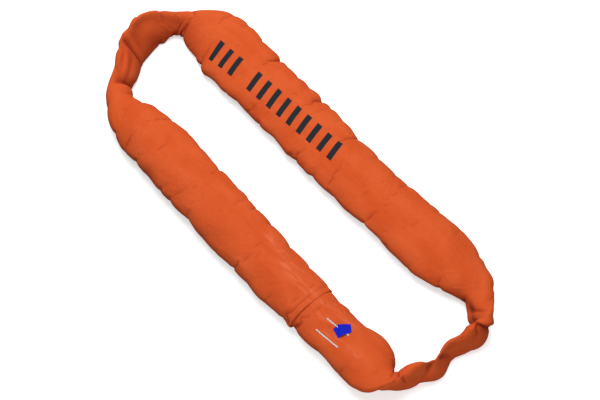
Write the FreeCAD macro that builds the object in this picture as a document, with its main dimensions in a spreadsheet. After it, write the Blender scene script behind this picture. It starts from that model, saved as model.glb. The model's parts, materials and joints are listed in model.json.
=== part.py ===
import FreeCAD, Part
import os
from math import atan2, cos, degrees, radians, sin

from FreeCAD import Placement, Rotation, Vector
from Sketcher import Constraint

# Round sling, 12 t, effective working length 1 m: an endless polyester yarn core in a woven tubular
# sleeve, lying flat as a long loop.  Frame in millimetres: +X along the loop towards the end beside
# the label, +Y towards the printed leg, +Z up, origin on the floor at the loop's centre.
#
# The loop is a chain of seven rigid stretches with upright hinge axes where it bends.  The six bend
# points are three points and their reflections through the origin, so the chain stays closed while
# both ends bend by the same amounts.

DIMENSIONS = {
    # bend points at the far end (-X); the near end mirrors them through the origin
    "printed_bend_along": 389,
    "printed_bend_across": 109,
    "tip_bend_along": 427,
    "tip_bend_across": 17,
    "label_bend_along": 374,
    "label_bend_across": 88,
    # sleeve sections: width along the section's long side, thickness along its short side
    "printed_leg_width": 118,
    "printed_leg_thickness": 46,
    "label_leg_width": 108,
    "label_leg_thickness": 50,
    "tucked_leg_width": 90,
    "tucked_leg_thickness": 46,
    "far_crown_width": 78,
    "far_crown_thickness": 34,
    "near_crown_width": 58,
    "near_crown_thickness": 30,
    "sleeve_wall": 2.5,
    # straight runs of the legs and their sideways distance from the bend points
    "printed_run_heading": 179.2,
    "printed_run_offset": 24.8,
    "printed_run_length": 639,
    "label_run_heading": -0.7,
    "label_run_offset": 26.6,
    "label_run_length": 341,
    "label_turn_length": 99,
    "tucked_run_heading": 183.7,
    "tucked_run_length": 103,
    "turn_length": 62,
    # bends
    "bend_clearance": 1.5,
    "bend_cut_angle": 30,
    # closing seam, where the far sleeve's hem covers the tucked end of the near sleeve
    "hem_end_along": 206,
    "hem_length": 20,
    "hem_gap": 0.3,
    "hem_width": 96,
    "hem_wall": 4,
    "tucked_end_width": 80,
    "tucked_end_thickness": 38,
    "tuck_length": 18,
    "seam_taper_length": 120,
    # yarn core
    "core_gap": 2,
    "core_end_gap": 4,
    "binding_gap": 0.2,
    "binding_thickness": 1,
    "binding_length": 40,
    "binding_position": 78,
    # label
    "thread_diameter": 1.2,
    "thread_gap": 0.1,
    "stitch_length": 3.6,
    "stitch_pitch": 5,
    "closing_stitch_count": 10,
    "label_stitch_count": 10,
    "label_row_heading": 6.5,
    "inner_row_along": 247,
    "inner_row_across": -123.4,
    "outer_row_along": 252,
    "outer_row_across": -137,
    "tag_along": 276,
    "tag_across": -122,
    "tag_heading": -33,
    "tag_width": 22,
    "tag_flap_length": 22,
    "tag_sewn_length": 6,
    "tag_thickness": 1,
    "tag_fold_radius": 1.6,
    "tag_fold_gap": 0.4,
    "tag_lift": 0.4,
}

document = FreeCAD.newDocument("RoundSling")
sheet = document.addObject("Spreadsheet::Sheet", "Dimensions")
for row, (alias, value) in enumerate(DIMENSIONS.items(), start=1):
    sheet.set(f"A{row}", alias)
    sheet.set(f"B{row}", str(value))
    sheet.setAlias(f"B{row}", alias)
document.recompute()

parts = []


def size(alias):
    """The value of one cell of the spreadsheet."""
    return float(sheet.get(alias))


def cell(alias):
    """The same cell as an expression that a property can be bound to."""
    return f"{sheet.Name}.{alias}"


FAR_PRINTED = Vector(-size("printed_bend_along"), size("printed_bend_across"), 0)
FAR_TIP = Vector(-size("tip_bend_along"), size("tip_bend_across"), 0)
FAR_LABEL = Vector(-size("label_bend_along"), -size("label_bend_across"), 0)
NEAR_LABEL = FAR_PRINTED * -1
NEAR_TIP = FAR_TIP * -1
NEAR_PRINTED = FAR_LABEL * -1


def stretch_placement(start, heading):
    """A stretch's own frame: its origin at its first bend point, +X along it, +Z up."""
    return Placement(start, Rotation(Vector(0, 0, 1), heading))


def new_body(name, placement):
    body = document.addObject("PartDesign::Body", name)
    body.Label = name
    body.Placement = placement
    body.AllowCompound = True
    parts.append(body)
    return body


def origin_feature(body, role):
    """One of a body's own planes or axes."""
    return next(feature for feature in body.Origin.OriginFeatures if feature.Role == role)


def new_sketch(body, name, role, offset=Placement()):
    sketch = body.newObject("Sketcher::SketchObject", name)
    sketch.AttachmentSupport = [(origin_feature(body, role), "")]
    sketch.MapMode = "FlatFace"
    sketch.AttachmentOffset = offset
    return sketch


def bind(sketch, constraint, expression):
    """Adds a driving constraint whose value follows an expression."""
    index = sketch.addConstraint(constraint)
    sketch.setExpression(f"Constraints[{index}]", expression)


class Section:
    """One cross-section of the tube: a stadium, width by thickness, standing on the floor.

    along is its distance from the stretch's first bend point, offset its distance outwards from the
    bend point's line, and roll turns it from lying flat (0) to standing on its edge (90), the outer
    edge going up.  outer is +1 where the outside of the loop is the stretch's own +Y, else -1.
    """

    def __init__(self, along, offset, width, thickness, roll, outer, lift=0.0):
        self.along = along
        self.offset = offset
        self.width_expression, self.width = width
        self.thickness_expression, self.thickness = thickness
        self.roll = roll
        self.outer = outer
        self.lift = lift

    def centre(self):
        rise = (self.width - self.thickness) / 2 * sin(radians(self.roll)) + self.thickness / 2
        return self.outer * self.offset, rise + self.lift

    def placement(self):
        across, up = self.centre()
        return Placement(Vector(across, up, self.along), Rotation(Vector(0, 0, 1), self.outer * self.roll))

    def point(self, wide, thick):
        """A point of the section in the stretch's frame, from its centre along its two sides."""
        across, up = self.centre()
        turn = radians(self.outer * self.roll)
        return Vector(
            self.along,
            across + wide * cos(turn) - thick * sin(turn),
            up + wide * sin(turn) + thick * cos(turn),
        )


def cell_size(alias):
    """A section size that is one cell: its expression and its value."""
    return cell(alias), size(alias)


def mixed_size(first, second, share):
    """A section size that is share of the way from one cell to another: expression and value."""
    expression = f"({cell(first)} * {1 - share:.4f} + {cell(second)} * {share:.4f})"
    return expression, size(first) * (1 - share) + size(second) * share


def smooth(share):
    """An S-shaped step from 0 to 1."""
    return share * share * (3 - 2 * share)


def turn_up(leg, crown, bend, run_start, stop, run_offset, bend_offset, outer, steps=4):
    """Sections from the flat run of a leg at run_start to its bend, where the tube stands on edge.

    The tube gathers to the bend's width sooner than it turns, so it never stands taller than there.
    The last section is at stop, which may be short of the bend.
    """
    sections = []
    for step in range(steps + 1):
        along = run_start + (stop - run_start) * step / steps
        share = smooth((along - run_start) / (bend - run_start))
        gathered = 1 - (1 - share) ** 2
        offset = run_offset * (1 - share) + bend_offset * share
        width = mixed_size(leg + "_width", crown + "_width", gathered)
        thickness = mixed_size(leg + "_thickness", crown + "_thickness", gathered)
        sections.append(Section(along, offset, width, thickness, 90 * share, outer))
    return sections


def stadium_sketch(body, name, section, inset=None):
    """The outline of a section, drawn inset inside its outer surface when inset is given."""
    shrink = f" - 2 * {inset}" if inset else ""
    width = f"({section.width_expression}{shrink})"
    thickness = f"({section.thickness_expression}{shrink})"
    sketch = new_sketch(body, name, "YZ_Plane", section.placement())
    reach, radius = 20.0, 10.0
    quarter = radians(90)
    up = Vector(0, 0, 1)
    right, left = Vector(reach, 0, 0), Vector(-reach, 0, 0)
    sketch.addGeometry(Part.LineSegment(Vector(-reach, radius, 0), Vector(reach, radius, 0)), False)
    sketch.addGeometry(Part.ArcOfCircle(Part.Circle(right, up, radius), -quarter, quarter), False)
    sketch.addGeometry(Part.LineSegment(Vector(reach, -radius, 0), Vector(-reach, -radius, 0)), False)
    sketch.addGeometry(Part.ArcOfCircle(Part.Circle(left, up, radius), quarter, 3 * quarter), False)
    for first, first_point, second, second_point in ((0, 2, 1, 2), (1, 1, 2, 1), (2, 2, 3, 2), (3, 1, 0, 1)):
        sketch.addConstraint(Constraint("Tangent", first, first_point, second, second_point))
    sketch.addConstraint(Constraint("Equal", 1, 3))
    sketch.addConstraint(Constraint("Symmetric", 1, 3, 3, 3, -1, 1))
    sketch.addConstraint(Constraint("PointOnObject", 1, 3, -1))
    bind(sketch, Constraint("DistanceX", 3, 3, 1, 3, 2 * reach), f"{width} - {thickness}")
    bind(sketch, Constraint("Radius", 1, radius), f"{thickness} / 2")
    return sketch


def half_stadium_sketch(body, name, width, thickness, inset=None):
    """Half of a standing stadium beside the bend axis, to be turned into the rounded end there."""
    shrink = f" - {inset}" if inset else ""
    radius_expression = f"{thickness} / 2{shrink}"
    sketch = new_sketch(body, name, "YZ_Plane")
    up = Vector(0, 0, 1)
    low, high, radius = 20.0, 50.0, 15.0
    quarter = radians(90)
    low_arc = Part.ArcOfCircle(Part.Circle(Vector(0, low, 0), up, radius), -quarter, 0)
    high_arc = Part.ArcOfCircle(Part.Circle(Vector(0, high, 0), up, radius), 0, quarter)
    sketch.addGeometry(low_arc, False)
    sketch.addGeometry(Part.LineSegment(Vector(radius, low, 0), Vector(radius, high, 0)), False)
    sketch.addGeometry(high_arc, False)
    sketch.addGeometry(Part.LineSegment(Vector(0, high + radius, 0), Vector(0, low - radius, 0)), False)
    sketch.addConstraint(Constraint("Tangent", 0, 2, 1, 1))
    sketch.addConstraint(Constraint("Tangent", 1, 2, 2, 1))
    sketch.addConstraint(Constraint("Coincident", 2, 2, 3, 1))
    sketch.addConstraint(Constraint("Coincident", 3, 2, 0, 1))
    sketch.addConstraint(Constraint("PointOnObject", 0, 3, -2))
    sketch.addConstraint(Constraint("PointOnObject", 2, 3, -2))
    sketch.addConstraint(Constraint("PointOnObject", 3, 1, -2))
    sketch.addConstraint(Constraint("PointOnObject", 3, 2, -2))
    bind(sketch, Constraint("Radius", 0, radius), radius_expression)
    bind(sketch, Constraint("DistanceY", -1, 1, 0, 3, low), f"{thickness} / 2")
    bind(sketch, Constraint("DistanceY", 0, 3, 2, 3, high - low), f"{width} - {thickness}")
    return sketch


def loft(body, name, sections, inset=None):
    """A loft through the sections: solid, or a hollow cut from the body when inset is given."""
    outlines = [
        stadium_sketch(body, f"{name}_outline_{index}", section, inset)
        for index, section in enumerate(sections)
    ]
    feature = body.newObject("PartDesign::SubtractiveLoft" if inset else "PartDesign::AdditiveLoft", name)
    feature.Profile = outlines[0]
    feature.Sections = [(outline, [""]) for outline in outlines[1:]]


def straight(body, name, section, length, inset=None):
    """The section carried straight along the stretch: a pad, or a pocket when inset is given.

    length is an expression.
    """
    outline = stadium_sketch(body, f"{name}_outline", section, inset)
    feature = body.newObject("PartDesign::Pocket" if inset else "PartDesign::Pad", name)
    feature.Profile = outline
    feature.setExpression("Length", length)
    feature.Reversed = bool(inset)


def rounded_end(body, name, width, thickness, inset=None):
    """The half-round end of a stretch about its first bend axis."""
    outline = half_stadium_sketch(body, f"{name}_outline", width, thickness, inset)
    feature = body.newObject("PartDesign::Groove" if inset else "PartDesign::Revolution", name)
    feature.Profile = outline
    feature.ReferenceAxis = (outline, ["V_Axis"])
    feature.Angle = 180


def slanted_end(body, name, length, outer, radius):
    """Cuts the stretch off short of its last bend, on the slant that lets the next one turn."""
    clear = radius + size("bend_clearance")
    slant = radians(size("bend_cut_angle"))
    facing = Vector(cos(slant), -outer * sin(slant), 0)
    sideways = Vector(-facing.y, facing.x, 0)
    foot = Vector(length, 0, 0) - facing * clear
    beyond = 150.0
    corners = [
        foot - sideways * beyond,
        foot + sideways * beyond,
        foot + (sideways + facing) * beyond,
        foot + (facing - sideways) * beyond,
    ]
    sketch = new_sketch(body, f"{name}_outline", "XY_Plane")
    closed_outline(sketch, corners)
    for edge in range(4):
        sketch.addConstraint(Constraint("Block", edge))
    pocket = body.newObject("PartDesign::Pocket", name)
    pocket.Profile = sketch
    pocket.Reversed = True
    pocket.Length = 2 * beyond


def closed_outline(sketch, corners):
    """Straight edges from corner to corner and back to the first."""
    for start, end in zip(corners, corners[1:] + corners[:1]):
        sketch.addGeometry(Part.LineSegment(start, end), False)
    for edge in range(len(corners)):
        sketch.addConstraint(Constraint("Coincident", edge, 2, (edge + 1) % len(corners), 1))


# how the ten strands fill the room inside the sleeve, as shares of its thickness
ROW_HEIGHT = 0.245
STRAND_FILL = 0.44
CORNER_REACH = 0.1
STRAND_TO_PITCH = 0.95
COLUMNS = 5


def strand_layout(section):
    """Centres and diameter of the ten strands, five across and two through, inside a section."""
    inset = 2 * (size("sleeve_wall") + size("core_gap"))
    wide = section.width - inset
    thick = section.thickness - inset
    pitch = ((wide - thick) / 2 + CORNER_REACH * thick) / (COLUMNS // 2)
    diameter = min(STRAND_FILL * thick, STRAND_TO_PITCH * pitch)
    centres = [
        (column * pitch, side * ROW_HEIGHT * thick)
        for column in range(-(COLUMNS // 2), COLUMNS // 2 + 1)
        for side in (-1, 1)
    ]
    return centres, diameter


def crown_core(name, placement, width, thickness, length):
    """The core's strands between two bends: two circles padded, repeated up the standing tube."""
    inset = f"2 * ({cell('sleeve_wall')} + {cell('core_gap')})"
    room = f"({thickness} - {inset})"
    pitch = f"((({width} - {thickness}) / 2 + {CORNER_REACH} * {room}) / {COLUMNS // 2})"
    core = new_body(f"{name}_core", placement)
    sketch = new_sketch(core, "strand_outlines", "YZ_Plane")
    sketch.setExpression("AttachmentOffset.Base.y", f"{width} / 2 - {COLUMNS // 2} * {pitch}")
    for side in (-1, 1):
        sketch.addGeometry(Part.Circle(Vector(side * 10, 0, 0), Vector(0, 0, 1), 5), False)
    sketch.addConstraint(Constraint("PointOnObject", 0, 3, -1))
    bind(sketch, Constraint("Diameter", 0, 10), f"min({STRAND_FILL} * {room}; {STRAND_TO_PITCH} * {pitch})")
    sketch.addConstraint(Constraint("Equal", 0, 1))
    sketch.addConstraint(Constraint("Symmetric", 0, 3, 1, 3, -1, 1))
    bind(sketch, Constraint("DistanceX", 0, 3, 1, 3, 20), f"2 * {ROW_HEIGHT} * {room}")
    strands = core.newObject("PartDesign::Pad", "strands")
    strands.Profile = sketch
    slant = cell("bend_cut_angle")
    radius = f"({thickness} / 2)"
    clear = f"({radius} + {cell('bend_clearance')})"
    setback = f"({clear} + {radius} * sin({slant} * 1 deg)) / cos({slant} * 1 deg)"
    strands.setExpression("Length", f"{length} - {setback}")
    rows = core.newObject("PartDesign::LinearPattern", "strand_rows")
    rows.Originals = [strands]
    rows.Direction = (sketch, ["V_Axis"])
    rows.setExpression("Length", f"{COLUMNS - 1} * {pitch}")
    rows.Occurrences = COLUMNS
    core.Tip = rows


def bend_distance(first, second, sign):
    """The distance between two bend points, as an expression.

    sign is "-" where both lie on one side of the loop's long axis, and "+" where they don't.
    """
    along = f"({cell(first + '_bend_along')} - {cell(second + '_bend_along')})"
    across = f"({cell(first + '_bend_across')} {sign} {cell(second + '_bend_across')})"
    return f"hypot({along}; {across})"


def crown(name, start, end, length, outer):
    """A stretch at an end of the loop: the tube on its edge between two bends, with its core."""
    crown_end = name.rsplit("_", 1)[0]
    width_cell, thickness_cell = crown_end + "_width", crown_end + "_thickness"
    width, thickness = cell(width_cell), cell(thickness_cell)
    wall = cell("sleeve_wall")
    placement = stretch_placement(start, degrees(atan2(end.y - start.y, end.x - start.x)))
    section = Section(0, 0, cell_size(width_cell), cell_size(thickness_cell), 90, outer)

    sleeve = new_body(f"{name}_sleeve", placement)
    straight(sleeve, "tube", section, length)
    rounded_end(sleeve, "bend_end", width, thickness)
    straight(sleeve, "hollow", section, length, inset=wall)
    rounded_end(sleeve, "bend_hollow", width, thickness, inset=wall)
    slanted_end(sleeve, "slant", (end - start).Length, outer, size(thickness_cell) / 2)
    crown_core(name, placement, width, thickness, length)


def leg_core(name, runs, placement):
    """The strands of a leg: each is a loft of circles through every run of sections in turn."""
    solids = []
    for index in range(10):
        pieces = []
        for sections in runs:
            wires = []
            for section in sections:
                centres, diameter = strand_layout(section)
                middle = section.point(*centres[index])
                circle = Part.makeCircle(diameter / 2, middle, Vector(1, 0, 0))
                wires.append(Part.Wire([circle]))
            pieces.append(Part.makeLoft(wires, True, len(wires) == 2))
        strand = pieces[0]
        for piece in pieces[1:]:
            strand = strand.fuse(piece)
        solids.append(strand.removeSplitter().Solids[0])
    core = document.addObject("Part::Feature", name)
    core.Label = name
    core.Shape = Part.Compound(solids)
    core.Placement = placement
    parts.append(core)


def printed_leg():
    """The leg that carries the print: the root of the chain, bending at both of its ends."""
    outer = -1
    placement = stretch_placement(NEAR_PRINTED, size("printed_run_heading"))
    far_bend = placement.inverse().multVec(FAR_PRINTED)
    offset = size("printed_run_offset")
    near_stop = size("near_crown_thickness") / 2 + size("bend_clearance")
    far_stop = far_bend.x - size("far_crown_thickness") / 2 - size("bend_clearance")
    run_start = size("turn_length")
    run_end = run_start + size("printed_run_length")
    width = cell_size("printed_leg_width")
    thickness = cell_size("printed_leg_thickness")
    near_end = turn_up("printed_leg", "near_crown", 0, run_start, near_stop, offset, 0, outer)
    far_offset = outer * far_bend.y
    far_end = turn_up("printed_leg", "far_crown", far_bend.x, run_end, far_stop, offset, far_offset, outer)
    start = Section(run_start, offset, width, thickness, 0, outer)
    stop = Section(run_end, offset, width, thickness, 0, outer)
    run_length = cell("printed_run_length")
    wall = cell("sleeve_wall")

    sleeve = new_body("printed_leg_sleeve", placement)
    straight(sleeve, "run", start, run_length)
    loft(sleeve, "near_turn", near_end)
    loft(sleeve, "far_turn", far_end)
    straight(sleeve, "run_hollow", start, run_length, inset=wall)
    loft(sleeve, "near_hollow", near_end, inset=wall)
    loft(sleeve, "far_hollow", far_end, inset=wall)
    leg_core("printed_leg_core", [near_end, [start, stop], far_end], placement)


def label_leg():
    """The leg that ends in the hem, with the closing seam's stitches."""
    outer = -1
    placement = stretch_placement(FAR_LABEL, size("label_run_heading"))
    hem_end = placement.inverse().multVec(Vector(size("hem_end_along"), FAR_LABEL.y, 0)).x
    hem_start = hem_end - size("hem_length")
    sleeve_end = hem_start - size("hem_gap")
    run_start = size("label_turn_length")
    run_end = run_start + size("label_run_length")
    offset = size("label_run_offset")
    width = cell_size("label_leg_width")
    hem_width = cell_size("hem_width")
    thickness = cell_size("label_leg_thickness")
    turn = turn_up("label_leg", "far_crown", 0, run_start, 0, offset, 0, outer, steps=5)
    start = Section(run_start, offset, width, thickness, 0, outer)
    stop = Section(run_end, offset, width, thickness, 0, outer)
    mouth = Section(sleeve_end, offset, hem_width, thickness, 0, outer)
    hem_section = Section(hem_start, offset, hem_width, thickness, 0, outer)
    run_length = cell("label_run_length")
    wall = cell("sleeve_wall")
    crown_width, crown_thickness = cell("far_crown_width"), cell("far_crown_thickness")

    sleeve = new_body("label_leg_sleeve", placement)
    straight(sleeve, "run", start, run_length)
    loft(sleeve, "turn", turn)
    rounded_end(sleeve, "bend_end", crown_width, crown_thickness)
    loft(sleeve, "taper", [stop, mouth])
    straight(sleeve, "run_hollow", start, run_length, inset=wall)
    loft(sleeve, "turn_hollow", turn, inset=wall)
    rounded_end(sleeve, "bend_hollow", crown_width, crown_thickness, inset=wall)
    loft(sleeve, "taper_hollow", [stop, mouth], inset=wall)

    hem = new_body("seam_hem", placement)
    straight(hem, "band", hem_section, cell("hem_length"))
    straight(hem, "mouth", hem_section, cell("hem_length"), inset=cell("hem_wall"))

    core_end = Section(sleeve_end - size("core_end_gap"), offset, hem_width, thickness, 0, outer)
    leg_core("label_leg_core", [turn[::-1], [start, stop], [stop, core_end]], placement)

    # the closing stitches run across the hem, half-way along it
    row_length = size("stitch_pitch") * (size("closing_stitch_count") - 1)
    row_start = Vector((hem_start + hem_end) / 2, -offset - row_length / 2, size("label_leg_thickness"))
    across = size("label_run_heading") + 90
    stitch_row("closing_stitches", placement.multVec(row_start), across, "closing_stitch_count")


def tucked_leg():
    """The short rest of that leg beyond the seam; its end is tucked into the hem."""
    outer = 1
    placement = stretch_placement(NEAR_LABEL, size("tucked_run_heading"))
    hem_end = placement.inverse().multVec(Vector(size("hem_end_along"), NEAR_LABEL.y, 0)).x
    run_start = size("turn_length")
    run_end = run_start + size("tucked_run_length")
    width = cell_size("tucked_leg_width")
    thickness = cell_size("tucked_leg_thickness")
    end_width = cell_size("tucked_end_width")
    end_thickness = cell_size("tucked_end_thickness")
    # inside the hem the tucked end lies at the hem's own mid-height
    lift = (size("label_leg_thickness") - size("tucked_end_thickness")) / 2
    turn = turn_up("tucked_leg", "near_crown", 0, run_start, 0, 0, 0, outer, steps=5)
    start = Section(run_start, 0, width, thickness, 0, outer)
    stop = Section(run_end, 0, width, thickness, 0, outer)
    neck = Section(hem_end, 0, end_width, end_thickness, 0, outer, lift)
    mouth = Section(hem_end + size("tuck_length"), 0, end_width, end_thickness, 0, outer, lift)
    run_length, tuck_length = cell("tucked_run_length"), cell("tuck_length")
    wall = cell("sleeve_wall")
    crown_width, crown_thickness = cell("near_crown_width"), cell("near_crown_thickness")

    sleeve = new_body("tucked_leg_sleeve", placement)
    straight(sleeve, "run", start, run_length)
    loft(sleeve, "turn", turn)
    rounded_end(sleeve, "bend_end", crown_width, crown_thickness)
    loft(sleeve, "neck", [stop, neck])
    straight(sleeve, "tuck", neck, tuck_length)
    straight(sleeve, "run_hollow", start, run_length, inset=wall)
    loft(sleeve, "turn_hollow", turn, inset=wall)
    rounded_end(sleeve, "bend_hollow", crown_width, crown_thickness, inset=wall)
    loft(sleeve, "neck_hollow", [stop, neck], inset=wall)
    straight(sleeve, "tuck_hollow", neck, tuck_length, inset=wall)

    leg_core("tucked_leg_core", [turn[::-1], [start, stop], [stop, neck], [neck, mouth]], placement)

    # the tape lies in the room between the core and the sleeve
    binding_section = Section(size("binding_position"), 0, width, thickness, 0, outer)
    tape_inside = f"({wall} + {cell('core_gap')} - {cell('binding_gap')})"
    tape_outside = f"({tape_inside} - {cell('binding_thickness')})"
    binding = new_body("core_binding", placement)
    outside = stadium_sketch(binding, "tape_outline", binding_section, tape_outside)
    tape = binding.newObject("PartDesign::Pad", "tape")
    tape.Profile = outside
    tape.setExpression("Length", cell("binding_length"))
    straight(binding, "bundle", binding_section, cell("binding_length"), inset=tape_inside)


def thread_outline(body, name, diameter):
    """A circle about the body's own X axis."""
    sketch = new_sketch(body, name, "YZ_Plane")
    sketch.addGeometry(Part.Circle(Vector(0, 0, 0), Vector(0, 0, 1), 1), False)
    sketch.addConstraint(Constraint("Coincident", 0, 3, -1, 1))
    bind(sketch, Constraint("Diameter", 0, 2), diameter)
    return sketch


def stitch_row(name, start, heading, count):
    """A row of straight stitches lying on the sleeve from start, each a piece of thread."""
    lay = Vector(0, 0, size("thread_diameter") / 2 + size("thread_gap"))
    body = new_body(name, stretch_placement(start + lay, heading))
    outline = thread_outline(body, "thread_outline", cell("thread_diameter"))
    thread = body.newObject("PartDesign::Pad", "thread")
    thread.Profile = outline
    thread.setExpression("Length", cell("stitch_length"))
    row = body.newObject("PartDesign::LinearPattern", "row")
    row.Originals = [thread]
    row.Direction = (origin_feature(body, "X_Axis"), [""])
    row.setExpression("Length", f"{cell('stitch_pitch')} * ({cell(count)} - 1)")
    row.setExpression("Occurrences", cell(count))
    body.Tip = row


def label():
    """The two rows of label stitches and the folded tag, sewn down at one end."""
    top = size("tucked_leg_thickness")
    for row in ("inner", "outer"):
        start = Vector(size(f"{row}_row_along"), size(f"{row}_row_across"), top)
        stitch_row(f"label_stitches_{row}", start, size("label_row_heading"), "label_stitch_count")

    # the tag lies over the stitches; its own frame has +X along the fold and +Y over the flap
    stitch_top = top + size("thread_gap") + size("thread_diameter")
    fold_height = stitch_top + size("tag_lift") + size("tag_fold_radius")
    fold = Vector(size("tag_along"), size("tag_across"), fold_height)
    placement = Placement(fold, Rotation(Vector(0, 0, 1), size("tag_heading")))

    sewn = new_body("tag_sewn_end", placement)
    fold_edge = f"({cell('tag_fold_radius')} + {cell('tag_fold_gap')})"
    tag_panel(sewn, -1, fold_edge, cell("tag_sewn_length"))

    flap = new_body("tag_flap", placement)
    tag_panel(flap, 1, f"{cell('tag_fold_radius')} / 2", cell("tag_flap_length"))
    roll_outline = thread_outline(flap, "fold_outline", f"2 * {cell('tag_fold_radius')}")
    roll = flap.newObject("PartDesign::Pad", "fold_roll")
    roll.Profile = roll_outline
    roll.Midplane = True
    roll.setExpression("Length", cell("tag_width"))


def tag_panel(body, side, start, length):
    """One flat panel of the tag beside the fold, on its +Y (1) or -Y (-1) side."""
    sketch = new_sketch(body, "panel_outline", "YZ_Plane")
    near, far, half = side * 2.0, side * 20.0, 1.0
    corners = [Vector(near, -half, 0), Vector(far, -half, 0), Vector(far, half, 0), Vector(near, half, 0)]
    closed_outline(sketch, corners)
    sketch.addConstraint(Constraint("Horizontal", 0))
    sketch.addConstraint(Constraint("Vertical", 1))
    sketch.addConstraint(Constraint("Horizontal", 2))
    sketch.addConstraint(Constraint("Symmetric", 3, 1, 3, 2, -1))
    bind(sketch, Constraint("Distance", 1, 1, 1, 2, 2 * half), cell("tag_thickness"))
    bind(sketch, Constraint("Distance", 0, 1, 0, 2, abs(far - near)), length)
    axis_to_panel = (-1, 1, 0, 1) if side > 0 else (0, 1, -1, 1)
    bind(sketch, Constraint("DistanceX", *axis_to_panel, abs(near)), start)
    panel = body.newObject("PartDesign::Pad", "panel")
    panel.Profile = sketch
    panel.Midplane = True
    panel.setExpression("Length", cell("tag_width"))


printed_leg()
crown("far_crown_a", FAR_PRINTED, FAR_TIP, bend_distance("printed", "tip", "-"), -1)
crown("far_crown_b", FAR_TIP, FAR_LABEL, bend_distance("tip", "label", "+"), -1)
label_leg()
crown("near_crown_a", NEAR_PRINTED, NEAR_TIP, bend_distance("label", "tip", "+"), 1)
crown("near_crown_b", NEAR_TIP, NEAR_LABEL, bend_distance("tip", "printed", "-"), 1)
tucked_leg()
label()
document.recompute()

failed = [item.Name for item in document.Objects if {"Invalid", "Error"} & set(item.State)]
if failed:
    raise RuntimeError(f"these objects failed: {failed}")
for part in parts:
    if part.Shape.isNull() or not part.Shape.isValid():
        raise RuntimeError(f"{part.Label} has no valid shape")

os.makedirs("parts", exist_ok=True)
for part in parts:
    part.Shape.exportStep(os.path.join("parts", part.Label + ".step"))
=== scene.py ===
import json
import math

import bpy
import numpy as np
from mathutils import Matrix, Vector
from mathutils.bvhtree import BVHTree


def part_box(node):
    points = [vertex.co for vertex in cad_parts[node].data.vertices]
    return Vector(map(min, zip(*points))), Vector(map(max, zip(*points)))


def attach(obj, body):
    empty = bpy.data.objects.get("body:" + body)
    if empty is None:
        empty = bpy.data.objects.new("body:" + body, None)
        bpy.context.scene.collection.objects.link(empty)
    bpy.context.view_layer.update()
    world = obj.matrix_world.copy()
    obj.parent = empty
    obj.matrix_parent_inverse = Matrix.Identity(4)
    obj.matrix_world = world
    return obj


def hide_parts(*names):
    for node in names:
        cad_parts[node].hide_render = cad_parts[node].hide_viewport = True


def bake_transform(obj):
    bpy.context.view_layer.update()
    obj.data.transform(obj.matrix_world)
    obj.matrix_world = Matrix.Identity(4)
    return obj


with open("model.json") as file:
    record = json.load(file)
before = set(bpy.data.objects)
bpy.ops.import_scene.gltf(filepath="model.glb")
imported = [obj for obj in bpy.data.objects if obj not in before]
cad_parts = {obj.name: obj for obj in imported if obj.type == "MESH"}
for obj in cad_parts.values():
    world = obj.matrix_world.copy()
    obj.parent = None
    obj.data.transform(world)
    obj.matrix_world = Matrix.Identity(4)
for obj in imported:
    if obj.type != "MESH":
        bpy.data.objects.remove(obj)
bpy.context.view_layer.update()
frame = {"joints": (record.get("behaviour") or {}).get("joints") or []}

# Shapes are worked out in millimetres and written to meshes in metres.
MM = 0.001
LEG_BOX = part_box("printed_leg_sleeve")
HEM_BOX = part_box("seam_hem")
LANDMARKS = {joint["name"]: np.array(joint["pos_m"][:2]) / MM for joint in frame["joints"]}
LANDMARKS["printed_leg"] = np.array([0, (LEG_BOX[0].y + LEG_BOX[1].y) / 2]) / MM
LANDMARKS["seam"] = np.array([HEM_BOX[1].x, (HEM_BOX[0].y + HEM_BOX[1].y) / 2]) / MM
TAG_FOLD = next(joint for joint in frame["joints"] if joint["name"] == "tag_fold")

# The sleeve follows these sections in order, from its tucked end round the loop to the hem that
# covers it.  Each one is placed from a bend point or a landmark, and has a width, a thickness, a
# roll in degrees (0 lies flat, 90 stands on edge, outer edge up) and a lift off the floor.
SECTIONS = [
    ("seam", -20, 0, 80, 39, 0, 5),
    ("seam", -4, 0, 88, 43, 0, 2.5),
    ("seam", 12, -1, 92, 45, 0, 0.5),
    ("near_label_bend", -98, -13, 89, 46, 0, 0),
    ("near_label_bend", -44, -10, 94, 46, 4, 0),
    ("near_label_bend", -19, -11, 85, 42, 16, 0),
    ("near_label_bend", 10, 3, 58, 29, 78, 0),
    ("near_label_bend", 26, 41, 58, 17, 104, 0),
    ("near_tip_bend", -1, -24, 54, 16, 105, 0),
    ("near_tip_bend", -9, 10, 50, 16, 106, 0),
    ("near_tip_bend", -3, 42, 52, 17, 104, 0),
    ("near_printed_bend", 54, -23, 68, 20, 102, 0),
    ("near_printed_bend", 29, 0, 52, 32, 52, 0),
    ("near_printed_bend", -4, 24, 61, 38, 12, 0),
    ("near_printed_bend", -62, 29, 102, 44, 3, 0),
    ("near_printed_bend", -193, 25, 115, 46, 0, 0),
    ("printed_leg", 11, -7, 118, 46, 0, 0),
    ("printed_leg", -139, -2, 122, 46, 0, 0),
    ("far_printed_bend", 120, 11, 128, 46, 2, 0),
    ("far_printed_bend", 58, 12, 124, 42, 10, 0),
    ("far_printed_bend", 6, -5, 83, 34, 34, 0),
    ("far_printed_bend", -31, -22, 55, 26, 66, 0),
    ("far_tip_bend", -7, 29, 74, 24, 69, 0),
    ("far_tip_bend", -2, -12, 88, 24, 72, 0),
    ("far_tip_bend", 11, -50, 82, 24, 68, 0),
    ("far_label_bend", -15, 22, 66, 26, 64, 0),
    ("far_label_bend", 6, -8, 53, 32, 50, 0),
    ("far_label_bend", 50, -27, 77, 42, 12, 0),
    ("far_label_bend", 115, -29, 104, 50, 2, 0),
    ("far_label_bend", 265, -31, 110, 52, 0, 0),
    ("seam", -155, -1, 107, 50, 0, 0),
    ("seam", -40, -2, 98, 48, 0, 0),
    ("seam", 0, -2, 94, 48, 0, 0),
]

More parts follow.
